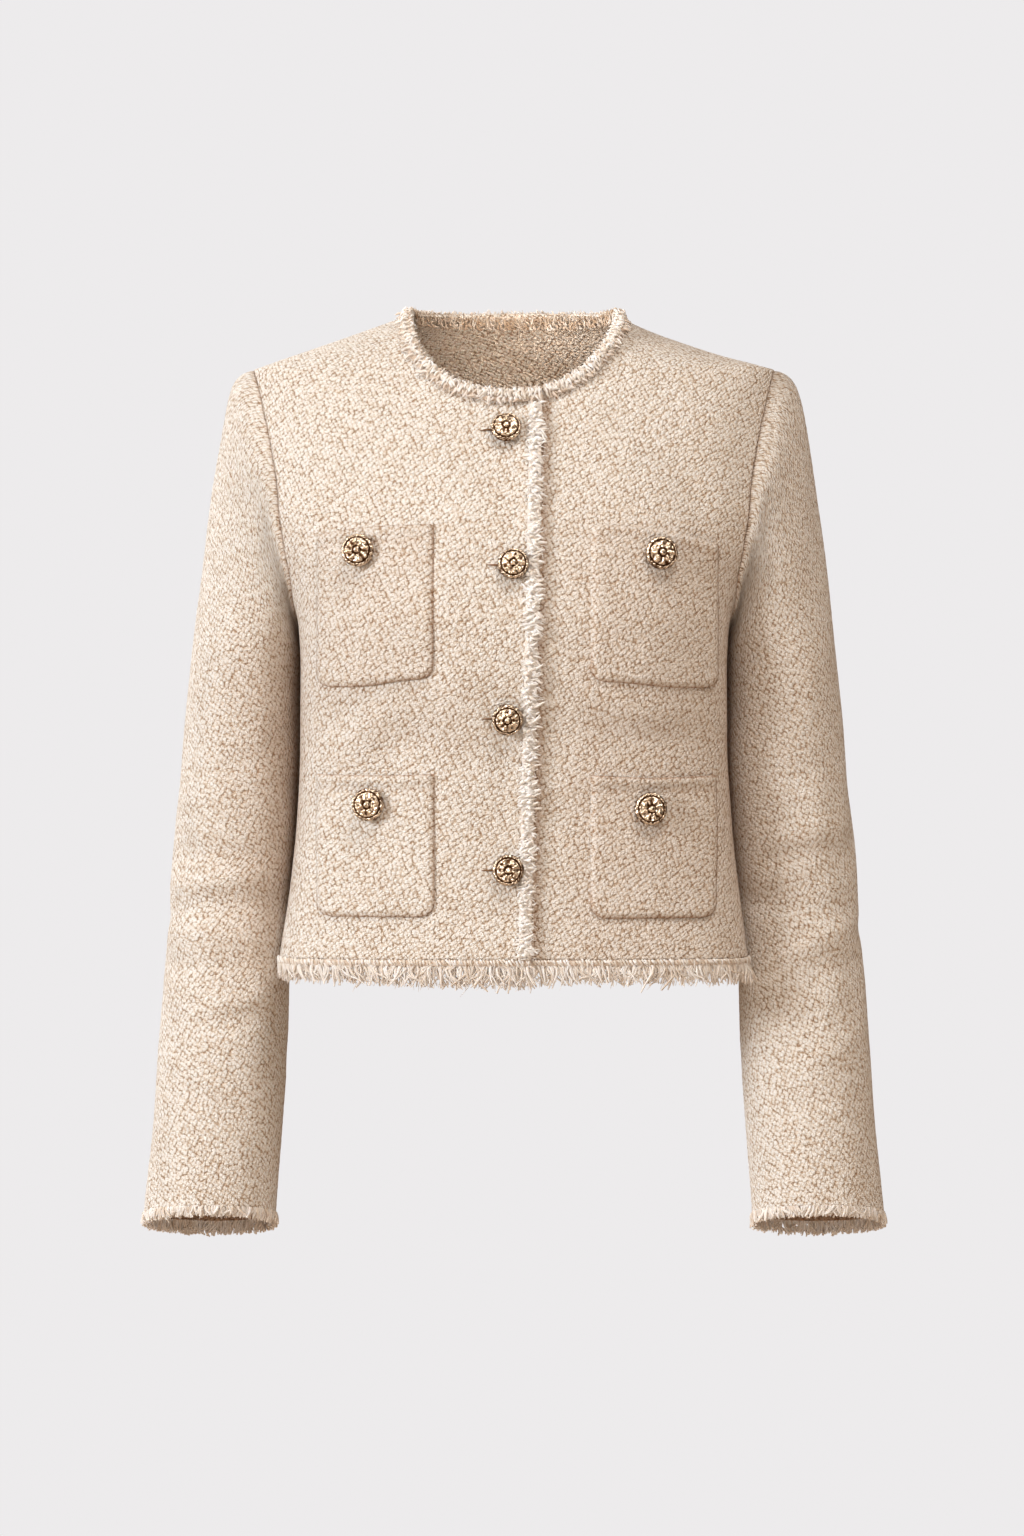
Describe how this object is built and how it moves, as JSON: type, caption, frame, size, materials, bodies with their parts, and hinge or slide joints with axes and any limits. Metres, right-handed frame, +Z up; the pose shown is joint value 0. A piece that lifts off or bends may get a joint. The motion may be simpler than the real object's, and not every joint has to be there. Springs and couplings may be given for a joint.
{
  "type": "cropped tweed jacket",
  "caption": "Cropped collarless jacket of nubby tweed with frayed edges, patch pockets and domed metal buttons, hollow as worn.",
  "frame": {"origin": "midway between the two shoulder seams, on the line across the wearer's shoulders, at mount wearer_shoulders", "axes": "+Z up, the fronts face -Y, the wearer's right is at -X"},
  "size_m": [0.527, 0.2392, 0.669],
  "materials": {
    "tweed": "nubby boucle tweed, cream over tan",
    "trim": "frayed yarn ends, cream",
    "button_gold": "polished gold-coloured metal with a raised relief"
  },
  "bodies": {
    "root": {"front_right": "tweed", "front_left": "tweed", "back": "tweed", "sleeve_right": "tweed", "sleeve_left": "tweed", "pocket_upper_right": "tweed", "pocket_upper_left": "tweed", "pocket_lower_right": "tweed", "pocket_lower_left": "tweed", "trim_neck_right": "trim", "trim_neck_left": "trim", "trim_neck_back": "trim", "trim_placket": "trim", "fringe_hem_right": "trim", "fringe_hem_left": "trim", "fringe_hem_back": "trim", "fringe_cuff_right": "trim", "fringe_cuff_left": "trim", "button_front_1": "button_gold", "button_front_2": "button_gold", "button_front_3": "button_gold", "button_front_4": "button_gold", "button_pocket_upper_right": "button_gold", "button_pocket_upper_left": "button_gold", "button_pocket_lower_right": "button_gold", "button_pocket_lower_left": "button_gold"}
  },
  "joints": []
}
